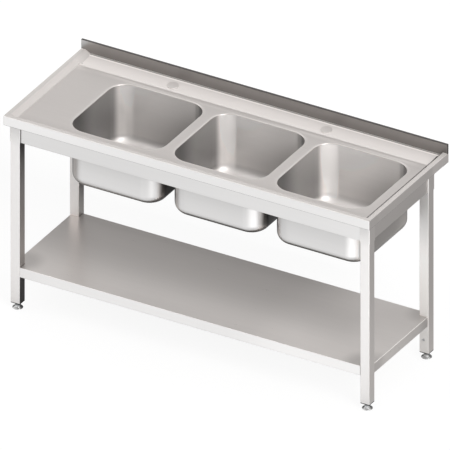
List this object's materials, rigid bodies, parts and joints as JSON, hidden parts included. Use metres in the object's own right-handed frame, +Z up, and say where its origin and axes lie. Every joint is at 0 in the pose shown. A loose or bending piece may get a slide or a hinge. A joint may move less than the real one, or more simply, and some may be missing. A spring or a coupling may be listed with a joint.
{
  "type": "three compartment sink",
  "caption": "Stainless catering sink unit with three square bowls, a left drainboard, a low rear upstand, plugged tap holes, a bottom shelf and levelling feet.",
  "frame": {"origin": "on the floor under the middle of the plan, with the feet wound in", "axes": "+X left to right along the worktop, +Y front to rear, +Z up"},
  "size_m": [1.6, 0.6, 0.89],
  "materials": {
    "sheet_steel": "brushed stainless sheet, 1.2 mm",
    "bowl_steel": "satin pressed stainless",
    "frame_steel": "brushed stainless tube and sheet",
    "foot_steel": "turned stainless",
    "polished_steel": "polished stainless",
    "screw_steel": "plain stainless",
    "black_plastic": "black nylon",
    "black_rubber": "black rubber"
  },
  "bodies": {
    "sink_and_frame": {"worktop": "sheet_steel", "drainboard_stiffener": "sheet_steel", "bowl_left": "bowl_steel", "bowl_middle": "bowl_steel", "bowl_right": "bowl_steel", "apron_front": "frame_steel", "apron_rear": "frame_steel", "apron_left": "frame_steel", "apron_right": "frame_steel", "socket_front_left": "frame_steel", "socket_front_right": "frame_steel", "socket_rear_left": "frame_steel", "socket_rear_right": "frame_steel", "leg_front_left": "frame_steel", "leg_front_right": "frame_steel", "leg_rear_left": "frame_steel", "leg_rear_right": "frame_steel", "shelf": "sheet_steel", "shelf_stiffener": "sheet_steel", "foot_insert_front_left": "black_plastic", "foot_insert_front_right": "black_plastic", "foot_insert_rear_left": "black_plastic", "foot_insert_rear_right": "black_plastic", "drain_body_left": "polished_steel", "drain_body_middle": "polished_steel", "drain_body_right": "polished_steel", "drain_nut_left": "black_plastic", "drain_nut_middle": "black_plastic", "drain_nut_right": "black_plastic", "coupling_nut_left": "black_plastic", "coupling_nut_middle": "black_plastic", "coupling_nut_right": "black_plastic", "tailpiece_left": "polished_steel", "tailpiece_middle": "polished_steel", "tailpiece_right": "polished_steel", "drain_seals": "black_rubber", "drain_washers": "black_rubber", "tailpiece_washers": "black_rubber", "socket_screws": "screw_steel", "foot_lock_screws": "screw_steel", "shelf_screws": "screw_steel"},
    "strainer_left": {"basket_left": "polished_steel", "basket_knob_left": "polished_steel", "basket_stopper_left": "black_rubber"},
    "strainer_middle": {"basket_middle": "polished_steel", "basket_knob_middle": "polished_steel", "basket_stopper_middle": "black_rubber"},
    "strainer_right": {"basket_right": "polished_steel", "basket_knob_right": "polished_steel", "basket_stopper_right": "black_rubber"},
    "tap_plug_left": {"tap_hole_plug_left": "sheet_steel"},
    "tap_plug_right": {"tap_hole_plug_right": "sheet_steel"},
    "foot_pad_front_left_body": {"foot_pad_front_left": "foot_steel"},
    "foot_stem_front_left_body": {"foot_stem_front_left": "foot_steel"},
    "foot_pad_front_right_body": {"foot_pad_front_right": "foot_steel"},
    "foot_stem_front_right_body": {"foot_stem_front_right": "foot_steel"},
    "foot_pad_rear_left_body": {"foot_pad_rear_left": "foot_steel"},
    "foot_stem_rear_left_body": {"foot_stem_rear_left": "foot_steel"},
    "foot_pad_rear_right_body": {"foot_pad_rear_right": "foot_steel"},
    "foot_stem_rear_right_body": {"foot_stem_rear_right": "foot_steel"}
  },
  "joints": [
    {"name": "strainer_left_lift", "type": "slide", "parent": "sink_and_frame", "child": "strainer_left", "axis": [0, 0, 1], "range_m": [0, 0.32]},
    {"name": "strainer_middle_lift", "type": "slide", "parent": "sink_and_frame", "child": "strainer_middle", "axis": [0, 0, 1], "range_m": [0, 0.32]},
    {"name": "strainer_right_lift", "type": "slide", "parent": "sink_and_frame", "child": "strainer_right", "axis": [0, 0, 1], "range_m": [0, 0.32]},
    {"name": "tap_plug_left_lift", "type": "slide", "parent": "sink_and_frame", "child": "tap_plug_left", "axis": [0, -0.0821, 0.9966], "range_m": [0, 0.05]},
    {"name": "tap_plug_right_lift", "type": "slide", "parent": "sink_and_frame", "child": "tap_plug_right", "axis": [0, -0.0821, 0.9966], "range_m": [0, 0.05]},
    {"name": "foot_front_left_raise", "type": "slide", "parent": "sink_and_frame", "child": "foot_pad_front_left_body", "axis": [0, 0, 1], "range_m": [-0.02, 0]},
    {"name": "foot_front_left_turn", "type": "hinge", "parent": "foot_pad_front_left_body", "child": "foot_stem_front_left_body", "pos_m": [-0.764, -0.252, 0.03], "axis": [0, 0, 1], "range_deg": [-4802, 0]},
    {"name": "foot_front_right_raise", "type": "slide", "parent": "sink_and_frame", "child": "foot_pad_front_right_body", "axis": [0, 0, 1], "range_m": [-0.02, 0]},
    {"name": "foot_front_right_turn", "type": "hinge", "parent": "foot_pad_front_right_body", "child": "foot_stem_front_right_body", "pos_m": [0.764, -0.252, 0.03], "axis": [0, 0, 1], "range_deg": [-4802, 0]},
    {"name": "foot_rear_left_raise", "type": "slide", "parent": "sink_and_frame", "child": "foot_pad_rear_left_body", "axis": [0, 0, 1], "range_m": [-0.02, 0]},
    {"name": "foot_rear_left_turn", "type": "hinge", "parent": "foot_pad_rear_left_body", "child": "foot_stem_rear_left_body", "pos_m": [-0.764, 0.196, 0.03], "axis": [0, 0, 1], "range_deg": [-4802, 0]},
    {"name": "foot_rear_right_raise", "type": "slide", "parent": "sink_and_frame", "child": "foot_pad_rear_right_body", "axis": [0, 0, 1], "range_m": [-0.02, 0]},
    {"name": "foot_rear_right_turn", "type": "hinge", "parent": "foot_pad_rear_right_body", "child": "foot_stem_rear_right_body", "pos_m": [0.764, 0.196, 0.03], "axis": [0, 0, 1], "range_deg": [-4802, 0]}
  ],
  "couplings": [
    {"joint": "foot_front_left_turn", "follows": "foot_front_left_raise", "rad_per_m": 4188.8},
    {"joint": "foot_front_right_turn", "follows": "foot_front_right_raise", "rad_per_m": 4188.8},
    {"joint": "foot_rear_left_turn", "follows": "foot_rear_left_raise", "rad_per_m": 4188.8},
    {"joint": "foot_rear_right_turn", "follows": "foot_rear_right_raise", "rad_per_m": 4188.8}
  ]
}
